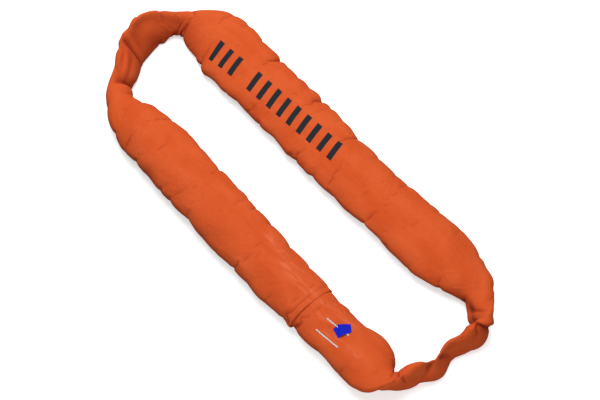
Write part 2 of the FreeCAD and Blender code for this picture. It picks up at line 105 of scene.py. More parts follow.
# The sleeve's grid: how far apart its rings are, and how many points go round each.
RING_SPACING = 2.6
AROUND = 112

# The roll never passes this, however the spline swings between sections.
MOST_ROLL = 108

# How sharp the sleeve's edges are towards each side where it stands, and how much less where it
# lies: 1 is an ellipse, more is a lens, less is a box.
UPPER_SHARPNESS, UPPER_EASE = 1.3, 0.1
LOWER_SHARPNESS, LOWER_EASE = 1.2, 0.5

# Folds and bulges of the sleeve: a landmark and a distance along the sleeve from it, a turn round
# the section (0 is the outer edge, 90 the top, 180 the inner edge), the half length along, the
# half spread round it in degrees, the height (below zero is a crease), how far the fold leans
# over along the sleeve, and how far it drifts along the sleeve for each degree round it.
FOLDS = [
    # the hem and the end tucked into it
    ("hem", -3, 0, 4.0, 400, 0.9, 0, 0),
    ("hem", -10, 0, 1.6, 400, -0.8, 0, 0),
    ("hem", -5, 180, 6.0, 28, 1.0, 0, 0),
    ("hem", -2, 340, 5.0, 30, 1.6, 0, 0),
    ("hem", -15, 20, 3.0, 26, -2.6, 0, 0.10),
    ("tuck", 34, 8, 4.0, 26, -2.0, 0, 0),
    ("tuck", 44, 176, 9.0, 26, -2.0, 0, 0),
    # the fat lobe behind the near end, and the puckers where it gathers
    ("near_label_bend", -60, 172, 12.0, 26, 4.0, 0, 0),
    ("near_label_bend", -12, 176, 7.0, 30, 3.5, 0, 0),
    ("near_label_bend", 2, 70, 2.6, 42, -3.6, 0, 0.12),
    ("near_label_bend", 10, 20, 2.4, 40, -3.4, 0, 0.06),
    ("near_label_bend", 18, 330, 2.6, 34, -3.0, 0, -0.08),
    ("near_label_bend", -6, 330, 3.0, 34, -2.2, 0, 0.14),
    # the near band: its outer face is hollow, with a hump and a few deep dents
    ("near_tip_bend", 8, 285, 60.0, 30, -5.0, 0, 0),
    ("near_label_bend", 31, 20, 14.0, 45, 4.6, 0, 0),
    ("near_label_bend", 62, 10, 4.0, 40, -3.0, 0, 0),
    ("near_tip_bend", -34, 318, 6.0, 30, -5.0, 0, 0.20),
    ("near_tip_bend", -8, 320, 6.0, 30, -4.6, 0, -0.22),
    ("near_tip_bend", -22, 225, 12.0, 36, 3.6, 0, 0),
    ("near_tip_bend", 20, 10, 8.0, 34, 2.0, 0, 0),
    ("near_tip_bend", 57, 25, 7.0, 45, 5.0, 0, 0),
    ("near_tip_bend", 66, 335, 3.2, 32, -4.0, 0, 0.06),
    # the end of the printed leg sags over the near band
    ("near_printed_bend", -60, 308, 3.2, 38, -8.0, 0, -0.22),
    ("near_printed_bend", -51, 314, 6.0, 58, 3.8, -5.0, -0.22),
    ("near_printed_bend", -46, 84, 3.6, 32, -3.0, 0, 0.34),
    ("near_printed_bend", -42, 285, 7.0, 30, 2.6, 0, -0.22),
    ("near_printed_bend", -38, 220, 8.0, 36, 3.0, 0, 0),
    ("near_printed_bend", -18, 128, 9.0, 20, -8.5, 0, 0.10),
    ("near_printed_bend", 4, 168, 6.0, 26, -3.0, 0, 0),
    ("near_printed_bend", -26, 165, 9.0, 34, 5.0, 0, 0),
    ("near_printed_bend", -22, 90, 3.0, 30, -2.6, 0, 0.14),
    ("near_printed_bend", 27, 4, 7.0, 28, 2.8, 0, 0),
    ("near_printed_bend", 14, 2, 3.2, 28, -1.8, 0, 0),
    ("near_printed_bend", 60, 2, 3.5, 26, -2.6, 0, 0),
    # edges of the printed leg
    ("printed_leg", 0, 176, 6.0, 26, 2.6, 0, 0),
    ("printed_leg", 34, 180, 3.2, 26, -2.6, 0, 0),
    ("printed_leg", 55, 180, 8.0, 28, 3.2, 0, 0),
    ("printed_leg", 23, 6, 10.0, 28, 2.4, 0, 0),
    ("printed_leg", 62, 8, 22.0, 36, 3.0, 0, 0),
    ("printed_leg", 98, 4, 3.4, 30, -4.0, 0, 0.05),
    ("printed_leg", 118, 8, 10.0, 32, 2.6, 0, 0),
    ("printed_leg", 152, 14, 8.0, 32, 3.4, 0, 0),
    ("far_printed_bend", -168, 6, 3.4, 30, -4.4, 0, 0.05),
    ("far_printed_bend", -150, 12, 8.0, 34, 1.0, 0, 0),
    ("far_printed_bend", -150, 186, 20.0, 30, 3.5, 0, 0),
    ("far_printed_bend", -90, 186, 16.0, 30, 4.5, 0, 0),
    ("far_printed_bend", -36, 184, 8.0, 28, 2.4, 0, 0),
    ("far_printed_bend", -73, 8, 3.4, 28, -2.4, 0, 0),
    ("far_printed_bend", -100, 10, 18.0, 36, -3.0, 0, 0),
    ("far_printed_bend", -56, 184, 4.0, 28, -3.0, 0, 0),
    # the far corner, with wrinkles that radiate from the inner notch
    ("far_printed_bend", 22, 176, 4.0, 24, -4.0, 0, 0),
    ("far_printed_bend", 30, 140, 3.0, 34, -4.2, 0, 0.26),
    ("far_printed_bend", 44, 128, 2.4, 32, -2.6, 0, 0.34),
    ("far_printed_bend", 16, 120, 2.6, 30, -2.4, 0, 0.12),
    ("far_printed_bend", 58, 150, 3.0, 26, -2.6, 0, 0.30),
    # the far band: a flat inner face with a slanting fold and a pocket before the label leg
    ("far_tip_bend", 0, 62, 62.0, 30, -4.6, 0, 0),
    ("far_tip_bend", 6, 355, 12.0, 26, 2.6, 0, 0),
    ("far_tip_bend", 28, 352, 8.0, 24, -2.4, 0, 0),
    ("far_tip_bend", 49, 352, 8.0, 26, 3.6, 0, 0),
    ("far_tip_bend", -30, 178, 4.0, 30, 2.6, 0, 0),
    ("far_tip_bend", 50, 60, 4.0, 70, -3.6, 0, 0.04),
    ("far_tip_bend", 42, 60, 5.0, 60, 2.2, 2.0, 0.04),
    ("far_label_bend", -36, 40, 16.0, 9, -2.4, 0, 0),
    ("far_label_bend", -30, 84, 18.0, 9, -2.2, 0, 0),
    ("far_label_bend", -34, 60, 14.0, 8, 1.4, 0, 0),
    ("far_label_bend", -3, 104, 9.0, 42, -10.0, 0, -0.08),
    ("far_label_bend", 15, 84, 6.5, 52, 4.6, -7.0, -0.08),
    ("far_label_bend", -57, 350, 4.0, 28, -2.4, 0, 0),
    ("far_label_bend", 60, 172, 4.0, 26, -3.0, 0, 0),
    ("far_label_bend", 82, 166, 11.0, 28, 3.6, 0, 0),
]


def natural_spline(knots, values, at):
    """A natural cubic spline through values at knots, and its slope, at the distances at."""
    gap = np.diff(knots)
    count = len(knots)
    matrix = np.eye(count)
    right = np.zeros_like(values)
    for i in range(1, count - 1):
        matrix[i, i - 1 : i + 2] = gap[i - 1], 2 * (gap[i - 1] + gap[i]), gap[i]
        right[i] = 6 * ((values[i + 1] - values[i]) / gap[i] - (values[i] - values[i - 1]) / gap[i - 1])
    curve = np.linalg.solve(matrix, right)
    i = np.clip(np.searchsorted(knots, at, side="right") - 1, 0, count - 2)
    a, b, step = (knots[i + 1] - at)[:, None], (at - knots[i])[:, None], gap[i][:, None]
    low, high = curve[i], curve[i + 1]
    first, second = values[i] / step - low * step / 6, values[i + 1] / step - high * step / 6
    value = (low * a**3 + high * b**3) / (6 * step) + first * a + second * b
    slope = (high * b**2 - low * a**2) / (2 * step) - first + second
    return value, slope


def section_outline(width, thickness, upper, lower):
    """A section with AROUND points evenly spaced round it from its outer edge, top first.

    Returns their places across and through it, and its length round. upper and lower are the
    sharpness of its edges towards its two sides.
    """
    turn = np.radians(np.arange(0, 360, 0.5))
    power = np.where(np.sin(turn) >= 0, upper, lower)
    wide = width / 2 * np.cos(turn)
    thick = thickness / 2 * np.sign(np.sin(turn)) * np.abs(np.sin(turn)) ** power
    wide, thick = np.append(wide, wide[0]), np.append(thick, thick[0])
    distance = np.append(0, np.cumsum(np.hypot(np.diff(wide), np.diff(thick))))
    even = np.linspace(0, distance[-1], AROUND, endpoint=False)
    return np.interp(even, distance, wide), np.interp(even, distance, thick), distance[-1]


class Sleeve:
    """The sleeve as a grid of points: rings along it, AROUND points in each."""

    def __init__(self):
        places = np.array([LANDMARKS[name] + (dx, dy) for name, dx, dy, *rest in SECTIONS])
        shape = np.array([rest for name, dx, dy, *rest in SECTIONS], float)
        knots = np.append(0, np.cumsum(np.linalg.norm(np.diff(places, axis=0), axis=1)))
        self.along = np.linspace(0, knots[-1], int(knots[-1] / RING_SPACING / 2) * 2 + 1)
        values, slopes = natural_spline(knots, np.hstack([places, shape]), self.along)
        self.path = values[:, :2]
        width, thickness, roll, lift = values[:, 2:].T
        heading = slopes[:, :2] / np.linalg.norm(slopes[:, :2], axis=1, keepdims=True)
        outward = np.stack([heading[:, 1], -heading[:, 0], 0 * heading[:, 0]], 1)
        up = np.array([0, 0, 1.0])
        tilt = np.radians(np.clip(roll, 0, MOST_ROLL))[:, None]
        wide_axis = np.cos(tilt) * outward + np.sin(tilt) * up
        thick_axis = -np.sin(tilt) * outward + np.cos(tilt) * up
        lying = np.cos(tilt[:, 0]) ** 2
        upper = UPPER_SHARPNESS - UPPER_EASE * lying
        lower = LOWER_SHARPNESS - LOWER_EASE * lying
        rings = [section_outline(*ring) for ring in zip(width, thickness, upper, lower)]
        across, thick, self.girth = (np.array(part) for part in zip(*rings))
        offset = across[..., None] * wide_axis[:, None] + thick[..., None] * thick_axis[:, None]
        self.centre = np.column_stack([self.path, np.maximum(lift, 0) - offset[..., 2].min(1)])
        self.turn = np.degrees(np.arctan2(thick / thickness[:, None], across / width[:, None])) % 360
        self.points = self.centre[:, None] + offset

    def distance_of(self, name):
        """How far along the sleeve it passes closest to a landmark."""
        if name in ("hem", "tuck"):
            return self.along[-1] if name == "hem" else 0.0
        gap = np.linalg.norm(self.path - LANDMARKS[name], axis=1)
        return self.along[gap.argmin()]


sleeve = Sleeve()


def grid_normals(points):
    """Outward unit normals of a grid of rings."""
    along = np.gradient(points, axis=0)
    round_it = np.roll(points, -1, 1) - np.roll(points, 1, 1)
    normal = np.cross(along, round_it)
    return normal / np.linalg.norm(normal, axis=2, keepdims=True)


def turned(angle, middle):
    """The signed turn from middle to angle, in degrees."""
    return (angle - middle + 180) % 360 - 180


def fold_moves():
    """The height and the lean along the sleeve of every listed fold, over the whole grid."""
    height = np.zeros(sleeve.turn.shape)
    lean = np.zeros(sleeve.turn.shape)
    for landmark, along, middle, half_length, spread, amount, push, drift in FOLDS:
        away = turned(sleeve.turn, middle)
        run = sleeve.along[:, None] - sleeve.distance_of(landmark) - along - drift * away
        share = np.exp(-0.5 * (run / half_length) ** 2 - 0.5 * (away / spread) ** 2)
        height += amount * share
        lean += push * share
    return height, lean


SLEEVE_SEED = 12

# A pucker's profile along the sleeve: nearly a point, rounded a little, about 1 at its middle.
PUCKER_ROUNDING = 0.08
PUCKER_PEAK = 0.28

# How much the whole sleeve is raised, to make up for the puckers.
PUCKER_LIFT = 0.6


def pucker_heights(random):
    """Small pinched notches along both edges, where the sleeve gathers."""
    height = np.zeros(sleeve.turn.shape)
    for edge in (0, 180):
        place = random.uniform(10, 40)
        while place < sleeve.along[-1]:
            half_length = random.uniform(3.0, 6.0)
            spread = random.uniform(16, 34)
            depth = random.uniform(0.8, 3.2)
            drift = random.uniform(-0.2, 0.2)
            away = turned(sleeve.turn, edge + random.uniform(-12, 12))
            run = sleeve.along[:, None] - place - drift * away
            sharp = np.exp(PUCKER_PEAK - np.sqrt((run / half_length) ** 2 + PUCKER_ROUNDING))
            height -= depth * sharp * np.exp(-0.5 * (away / spread) ** 2)
            place += random.uniform(24, 62)
    return height + PUCKER_LIFT


# The uneven fill: its wavelengths along the sleeve, how many times each kind of wave goes round,
# and the typical height of all of them together.
FILL_WAVELENGTHS = (210, 130, 84, 56)
FILL_TURNS = (0, 1, 1, 2, 2, 3, 3, 4)
FILL_HEIGHT = 0.8


def fill_heights(random):
    """The uneven fill of the core yarn under the sleeve: long soft swells."""
    angle = np.radians(sleeve.turn)
    height = np.zeros(angle.shape)
    for turns in FILL_TURNS:
        for wavelength in FILL_WAVELENGTHS:
            phase = random.uniform(0, 2 * np.pi, 2)
            size = random.normal(0, 1) * wavelength / FILL_WAVELENGTHS[0]
            wave = np.cos(2 * np.pi * sleeve.along[:, None] / wavelength + phase[0])
            height += size * wave * np.cos(turns * angle + phase[1])
    return FILL_HEIGHT * height / height.std()


def grid_mesh(name, points, closed=False):
    """A smooth mesh of a run of rings, in metres, with a flat end inside the sleeve if closed."""
    rings, around = points.shape[:2]
    mesh = bpy.data.meshes.new(name)
    i, j = np.meshgrid(np.arange(rings - 1), np.arange(around), indexing="ij")
    after = (j + 1) % around
    here, following = i * around, (i + 1) * around
    quads = np.stack([here + j, following + j, following + after, here + after], -1)
    vertices, faces = points.reshape(-1, 3), quads.reshape(-1, 4).tolist()
    if closed:
        vertices = np.concatenate([vertices, points[[0, -1]].mean(1)])
        first, last = rings * around, rings * around + 1
        top = (rings - 1) * around
        faces += [(first, k, (k + 1) % around) for k in range(around)]
        faces += [(last, top + (k + 1) % around, top + k) for k in range(around)]
    mesh.from_pydata((vertices * MM).tolist(), [], faces)
    mesh.shade_smooth()
    return mesh


# The cover is this share larger than the core needs, so it wrinkles.  The core holds each point of
# it softly, and no point moves further than the limit.
SLACK = 0.004
CORE_GRIP = 0.3
CLOTH_FRAMES = 24
CLOTH_LIMIT = 4.0


def upsampled(coarse):
    """A field given at every second ring and point, filled in with cubic midpoints."""
    rings = 2 * coarse.shape[0] - 1
    padded = np.concatenate([coarse[:1], coarse, coarse[-1:]])
    fine = np.zeros((rings, coarse.shape[1], 3))
    fine[::2] = coarse
    fine[1::2] = (9 * (padded[1:-2] + padded[2:-1]) - padded[:-3] - padded[3:]) / 16
    full = np.zeros((rings, 2 * coarse.shape[1], 3))
    full[:, ::2] = fine
    before, after, last = np.roll(fine, 1, 1), np.roll(fine, -1, 1), np.roll(fine, -2, 1)
    full[:, 1::2] = (9 * (fine + after) - before - last) / 16
    return full


def settle(points):
    """The points after the slack cover has wrinkled over its core, by cloth simulation."""
    scene = bpy.context.scene
    coarse = points[::2, ::2]
    cloth = bpy.data.objects.new("slack_cover", grid_mesh("slack_cover", coarse))
    scene.collection.objects.link(cloth)
    grip = np.full(coarse.shape[:2], CORE_GRIP)
    grip[[0, -1]] = 1.0
    held = cloth.vertex_groups.new(name="held")
    for share in (CORE_GRIP, 1.0):
        held.add(np.flatnonzero(grip == share).tolist(), share, "REPLACE")
    modifier = cloth.modifiers.new("Cloth", "CLOTH")
    settings = modifier.settings
    settings.shrink_min = -SLACK
    settings.vertex_group_mass = "held"
    settings.pin_stiffness = 0.3
    settings.quality = 6
    settings.effector_weights.gravity = 0.0
    settings.mass = 0.02
    settings.tension_stiffness = 80
    settings.compression_stiffness = 80
    settings.shear_stiffness = 8
    settings.bending_stiffness = 0.3
    settings.tension_damping = 1
    settings.compression_damping = 1
    settings.shear_damping = 1
    modifier.collision_settings.use_collision = False
    modifier.collision_settings.use_self_collision = False
    modifier.point_cache.frame_end = CLOTH_FRAMES
    for number in range(1, CLOTH_FRAMES + 1):
        scene.frame_set(number)
    final = cloth.evaluated_get(bpy.context.evaluated_depsgraph_get())
    found = np.zeros(coarse.size, np.float32)
    final.data.vertices.foreach_get("co", found)
    scene.frame_set(1)
    bpy.data.objects.remove(cloth)
    move = found.reshape(coarse.shape) / MM - coarse
    length = np.linalg.norm(move, axis=2, keepdims=True)
    move *= np.minimum(1, CLOTH_LIMIT / np.maximum(length, 1e-6))
    return points + upsampled(move)


# How far from the sleeve's two ends its puckers and fill die out, and how high it lies.
END_FADE = 15
FLOOR_GAP = 0.2


def shaped_points():
    """The sleeve's final surface: its fill, puckers and folds, then the cloth, then the floor."""
    random = np.random.default_rng(SLEEVE_SEED)
    height = fill_heights(random) + pucker_heights(random)
    ends = np.minimum(1, np.minimum(sleeve.along, sleeve.along[-1] - sleeve.along) / END_FADE)
    folds, lean = fold_moves()
    height = height * ends[:, None] + folds
    heading = np.gradient(sleeve.centre, axis=0)
    heading /= np.linalg.norm(heading, axis=1, keepdims=True)
    points = sleeve.points + height[..., None] * grid_normals(sleeve.points)
    points = points + lean[..., None] * heading[:, None]
    points = settle(points)
    points[..., 2] = np.maximum(points[..., 2], FLOOR_GAP)
    return points


# The hem's rolled edge: steps along the sleeve from its last ring, and inwards from it.
HEM_ROLL = [(1.0, 0.2), (1.7, 1.0), (1.5, 2.0), (0.6, 2.8), (-3.0, 3.2), (-9.0, 3.4)]


def with_hem(points):
    """The sleeve with its last edge rolled under."""
    inward = -grid_normals(points)[-1]
    heading = sleeve.centre[-1] - sleeve.centre[-2]
    heading /= np.linalg.norm(heading)
    rolls = [points[-1] + along * heading + depth * inward for along, depth in HEM_ROLL]
    return np.concatenate([points, np.array(rolls)])


def carried_on(values):
    """Values for each ring, carried on over the hem's roll."""
    return np.concatenate([values, np.repeat(values[-1:], len(HEM_ROLL), 0)])


def ring_at(distance):
    """The number of the ring nearest to a distance along the sleeve."""
    return int(np.abs(sleeve.along - distance).argmin())


# ---- materials, whose sizes are in metres ----------------------------------------------------


class Nodes:
    """Short calls that build a material's node graph."""

    def __init__(self, name):
        self.material = bpy.data.materials.new(name)
        self.material.use_nodes = True
        self.tree = self.material.node_tree
        self.shader = self.tree.nodes["Principled BSDF"]

    def add(self, kind, inputs=None, **settings):
        """A new node, with its settings made and its inputs joined."""
        node = self.tree.nodes.new(kind)
        for key, value in settings.items():
            setattr(node, key, value)
        for key, value in (inputs or {}).items():
            self.join(value, node.inputs[key])
        return node

    def join(self, value, socket):
        """Links a socket to another one, or gives it a plain value."""
        if isinstance(value, bpy.types.NodeSocket):
            self.tree.links.new(value, socket)
        else:
            socket.default_value = value

    def maths(self, operation, *values):
        inputs = dict(enumerate(values))
        return self.add("ShaderNodeMath", inputs, operation=operation).outputs[0]

    def ramp(self, value, low, high, start=0.0, end=1.0):
        """A smooth step from start to end while a value goes from low to high."""
        inputs = {"Value": value, "From Min": low, "From Max": high, "To Min": start, "To Max": end}
        return self.add("ShaderNodeMapRange", inputs, interpolation_type="SMOOTHSTEP").outputs["Result"]

    def below(self, value, limit, softness):
        """1 where a value is below a limit, 0 above it, with a soft edge."""
        return self.ramp(value, limit - softness, limit + softness, 1.0, 0.0)

    def mix(self, share, first, second):
        node = self.add("ShaderNodeMix", {"Factor": share}, data_type="RGBA")
        for value, socket in ((first, node.inputs[6]), (second, node.inputs[7])):
            self.join((*value, 1.0) if isinstance(value, tuple) else value, socket)
        return node.outputs[2]

    def tinted(self, colour, mask, strength, tint):
        """A colour turned towards a tint where the mask is high."""
        return self.mix(self.maths("MULTIPLY", mask, strength), colour, tint)

    def noise(self, vector, scale, detail):
        inputs = {"Vector": vector, "Scale": scale, "Detail": detail}
        return self.add("ShaderNodeTexNoise", inputs).outputs["Fac"]

    def stretched_noise(self, vector, factors, detail):
        """Noise with its own scale along each axis."""
        scaled = self.add("ShaderNodeMapping", {"Vector": vector, "Scale": factors})
        return self.noise(scaled.outputs["Vector"], 1.0, detail)

    def attribute(self, name):
        return self.add("ShaderNodeAttribute", attribute_name=name).outputs["Fac"]

    def split(self, vector):
        outputs = self.add("ShaderNodeSeparateXYZ", {"Vector": vector}).outputs
        return outputs["X"], outputs["Y"], outputs["Z"]

    def uv(self, name):
        return self.add("ShaderNodeUVMap", uv_map=name).outputs["UV"]

    def sine(self, value, pitch):
        return self.maths("SINE", self.maths("MULTIPLY", value, 2 * math.pi / pitch))

    def ribs(self, value, pitch):
        """Height of even ribs, 0 to 1."""
        return self.maths("MULTIPLY_ADD", self.sine(value, pitch), 0.5, 0.5)

    def weave(self, along, across, pitch):
        """Height of a plain weave, 0 to 1."""
        crossing = self.maths("MULTIPLY", self.sine(along, pitch), self.sine(across, pitch))
        return self.maths("MULTIPLY_ADD", crossing, 0.5, 0.5)

    def bump(self, height, distance, strength, normal=None):
        inputs = {"Height": height, "Distance": distance, "Strength": strength}
        if normal is not None:
            inputs["Normal"] = normal
        return self.add("ShaderNodeBump", inputs).outputs["Normal"]

    def finish(self, **inputs):
        for key, value in inputs.items():
            self.join(value, self.shader.inputs[key.replace("_", " ")])
        return self.material


WEAVE_PITCH = 0.0014


def dye_sheen_and_shade(n, vector, weave):
    """Orange dye with soft patches and dark threads, plus painted sheen in pale streaks and painted
    shade in the hollows.
    """
    patches = n.stretched_noise(vector, (14, 30, 1), 4.0)
    lengthwise_sheen = n.stretched_noise(vector, (12, 260, 1), 2.0)
    threads = n.stretched_noise(vector, (160, 900, 1), 1.0)
    sheen_breakup = n.stretched_noise(vector, (40, 170, 1), 3.0)
    # painted sheen in pale streaks by the label, broken up by noise
    rubbed = n.maths("MULTIPLY", n.attribute("rubbed"), n.ramp(sheen_breakup, 0.35, 0.75))
    dye_sheen_shade = n.mix(n.ramp(patches, 0.3, 0.7), (0.66, 0.088, 0.016), (0.72, 0.112, 0.026))
    # painted sheen: pale lengthwise streaks along the sleeve
    dye_sheen_shade = n.tinted(dye_sheen_shade, n.ramp(lengthwise_sheen, 0.5, 0.8), 0.22, (0.78, 0.16, 0.055))
    dye_sheen_shade = n.tinted(dye_sheen_shade, n.ramp(threads, 0.35, 0.65), 0.12, (0.5, 0.06, 0.012))
    dye_sheen_shade = n.tinted(dye_sheen_shade, n.ramp(weave, 0.0, 0.45, 1.0, 0.0), 0.18, (0.42, 0.045, 0.01))
    # painted shade: darker where the sleeve lies in a hollow, where shade falls
    dye_sheen_shade = n.tinted(dye_sheen_shade, n.ramp(n.attribute("hollow"), 0.0, 1.0), 0.62, (0.3, 0.024, 0.006))
    # painted sheen: paler where the label's streaks lie
    return n.tinted(dye_sheen_shade, rubbed, 0.6, (0.84, 0.2, 0.09))


# The printed mark stands in for lettering: plain leaning bars in evenly spaced cells, one empty.
BAR_PITCH = 0.0266
BAR_CELLS = 13
EMPTY_CELL = 3.0
BAR_SLANT = 0.22
HALF_BAR_WIDTH = 0.0058
HALF_BAR_HEIGHT = 0.0205
INK_EDGE = 0.0004
INK_RAGGEDNESS = 0.0012


def printed_ink(n, vector):
    """1 where the printed mark's ink lies, 0 elsewhere, with ragged edges and faint speckle."""
    print_x, print_y, _ = n.split(n.uv("print"))
    ragged = n.maths("MULTIPLY", n.maths("SUBTRACT", n.noise(vector, 700.0, 2.0), 0.5), INK_RAGGEDNESS)
    place = n.maths("ADD", n.maths("MULTIPLY_ADD", print_y, BAR_SLANT, print_x), ragged)
    cell = n.maths("FLOOR", n.maths("DIVIDE", place, BAR_PITCH))
    from_start = n.maths("FLOORED_MODULO", place, BAR_PITCH)
    from_middle = n.maths("ABSOLUTE", n.maths("SUBTRACT", from_start, BAR_PITCH / 2))
    from_axis = n.maths("ABSOLUTE", n.maths("ADD", print_y, ragged))
    after_first = n.maths("GREATER_THAN", cell, -0.5)
    before_end = n.maths("LESS_THAN", cell, BAR_CELLS - 0.5)
    inside = n.maths("MULTIPLY", after_first, before_end)
    inked = n.maths("SUBTRACT", inside, n.maths("COMPARE", cell, EMPTY_CELL, 0.5))
    bar = n.maths(
        "MULTIPLY",
        n.below(from_middle, HALF_BAR_WIDTH, INK_EDGE),
        n.below(from_axis, HALF_BAR_HEIGHT, INK_EDGE),
    )
    speckle = n.maths("MULTIPLY_ADD", n.ramp(n.noise(vector, 900.0, 2.0), 0.25, 0.42), 0.03, 0.97)
    return n.maths("MULTIPLY", n.maths("MAXIMUM", n.maths("MULTIPLY", bar, inked), 0.0), speckle)


def sleeve_material():
    """Woven orange polyester with a dark printed mark of slanted bars."""
    n = Nodes("woven_sleeve")
    vector = n.uv("cloth")
    along, across, _ = n.split(vector)
    weave = n.weave(along, across, WEAVE_PITCH)
    ink = printed_ink(n, vector)
    fine = n.bump(weave, 0.00016, 0.6)
    return n.finish(
        Base_Color=n.mix(ink, dye_sheen_and_shade(n, vector, weave), (0.013, 0.02, 0.025)),
        Roughness=n.maths("MULTIPLY_ADD", ink, -0.12, 0.86),
        Specular_IOR_Level=0.12,
        Sheen_Weight=0.02,
        Sheen_Roughness=0.5,
        Normal=n.bump(n.stretched_noise(vector, (60, 110, 1), 4.0), 0.0012, 0.35, fine),
    )


def thread_material(name, dark, light):
    """Twisted thread: fine slanted plies that catch the light."""
    n = Nodes(name)
    vector = n.add("ShaderNodeTexCoord").outputs["Object"]
    x, y, z = n.split(vector)
    slant = n.maths("MULTIPLY_ADD", z, 0.8, n.maths("MULTIPLY_ADD", y, 0.9, x))
    plies = n.ribs(slant, 0.0009)
    fuzz = n.noise(vector, 1500.0, 3.0)
    tone = n.mix(n.ramp(plies, 0.0, 0.7), dark, light)
    return n.finish(
        Base_Color=n.tinted(tone, n.ramp(fuzz, 0.4, 0.7), 0.25, dark),
        Roughness=0.62,
        Specular_IOR_Level=0.3,
        Normal=n.bump(plies, 0.0002, 0.8, n.bump(fuzz, 0.0001, 0.5)),
    )


def ribbon_material():
    """Blue polyester ribbon with fine cross ribs."""
    n = Nodes("tag_ribbon")
    along, across, _ = n.split(n.uv("ribbon"))
    vector = n.add("ShaderNodeTexCoord").outputs["Object"]
    ribs = n.ribs(across, 0.0008)
    threads = n.ribs(along, 0.0005)
    patches = n.noise(vector, 160.0, 3.0)
    tone = n.mix(n.ramp(ribs, 0.1, 0.8), (0.006, 0.012, 0.4), (0.012, 0.024, 0.66))
    return n.finish(
        Base_Color=n.tinted(tone, n.ramp(patches, 0.35, 0.7), 0.35, (0.008, 0.016, 0.5)),
        Roughness=n.maths("MULTIPLY_ADD", ribs, 0.12, 0.66),
        Specular_IOR_Level=0.08,
        Normal=n.bump(n.maths("MULTIPLY_ADD", threads, 0.3, ribs), 0.00018, 0.7),
    )


# ---- the sleeve's pieces ---------------------------------------------------------------------

# Each piece's place, the two bodies that it joins, the CAD stretches whose sleeve and core it
# stands for, and the other CAD nodes that it stands for.
PIECES = [
    ("near_label", "near_crown_b", "tucked_leg", ["tucked_leg", "near_crown_b"], ["core_binding"]),
    ("near_tip", "near_crown_a", "near_crown_b", ["near_crown_a"], []),
    ("near_printed", "printed_leg", "near_crown_a", ["printed_leg"], []),
    ("far_printed", "printed_leg", "far_crown_a", ["far_crown_a"], []),
    ("far_tip", "far_crown_a", "far_crown_b", ["far_crown_b"], []),
    ("far_label", "far_crown_b", "label_leg", ["label_leg"], ["seam_hem"]),
]

# How far from its joint, either way, a piece's blend limit lies.
REACH = 30.0

# The two ends of the printed mark's axis.
PRINT_START = LANDMARKS["printed_leg"] + (-324, -25)
PRINT_END = LANDMARKS["printed_leg"] + (22, -8)

# Points where the sine of the turn is below this are on the sleeve's underside and take no ink:
# they are given a place across the print that is far outside its bars.
UNDERSIDE = 0.2
OFF_PRINT = 1000

# Pale streaks of painted sheen: the two ends of each from the tag's fold, and its width.
SHEEN_STREAKS = [
    ((-70, 4), (-44, 26), 7),
    ((-46, 19), (12, 26), 5),
    ((-54, -12), (-26, 0), 6),
    ((-14, -20), (54, -6), 6),
    ((-156, 10), (-71, 6), 10),
    ((-216, 26), (-126, 22), 8),
]
SHEEN_ABOVE = 20

# Painted shade in the hollows: a hollow is what lies below the sleeve smoothed this many times, and its
# painted shade is full at this depth.
SMOOTHINGS = 12
CREASE_SHADE_DEPTH = 1.2


def add_piece(name, mesh, material):
    """A new object in the scene with a mesh and a material."""
    piece = bpy.data.objects.new(name, mesh)
    mesh.materials.append(material)
    bpy.context.scene.collection.objects.link(piece)
    return piece


def painted_sheen_amount(points):
    """How much painted sheen each point takes, 0 to 1: only the upper side takes any."""
    share = np.zeros(points.shape[:2])
    for start, end, width in SHEEN_STREAKS:
        way = np.subtract(end, start)
        run = points[..., :2] - (LANDMARKS["tag_fold"] + start)
        place = np.clip(run @ way / (way @ way), 0, 1)
        away = np.linalg.norm(run - place[..., None] * way, axis=-1)
        share = np.maximum(share, np.exp(-((away / width) ** 2)))
    return share * (points[..., 2] > SHEEN_ABOVE)


def crease_shade_amount(points, normals):
    """How far each point lies below its surroundings, 0 to 1, which sets its painted shade."""
    smooth = points.copy()
    for _ in range(SMOOTHINGS):
        smooth[1:-1] = (smooth[:-2] + 2 * smooth[1:-1] + smooth[2:]) / 4
        smooth = (np.roll(smooth, 1, 1) + 2 * smooth + np.roll(smooth, -1, 1)) / 4
    return np.clip(((smooth - points) * normals).sum(2) / CREASE_SHADE_DEPTH, 0, 1)


def closed_round(values):
    """Values for the points of each ring, with the first one again at the end."""
    return np.concatenate([values, values[:, :1]], 1)


def cloth_coordinates(rows):
    """Distances along and round the sleeve, for a run of rings."""
    along = np.repeat(carried_on(sleeve.along)[rows, None], AROUND + 1, 1)
    around = np.arange(AROUND + 1) / AROUND * carried_on(sleeve.girth)[rows, None]
    return along, around


def print_coordinates(rows):
    """Places along and across the printed mark, for a run of rings."""
    axis = (PRINT_END - PRINT_START) / np.linalg.norm(PRINT_END - PRINT_START)
    plan = carried_on(sleeve.points)[rows, :, :2] - PRINT_START
    along, across = plan @ axis, plan @ np.array([-axis[1], axis[0]])
    under = np.sin(np.radians(carried_on(sleeve.turn)[rows])) < UNDERSIDE
    across[under] = OFF_PRINT
    return closed_round(along), closed_round(across)


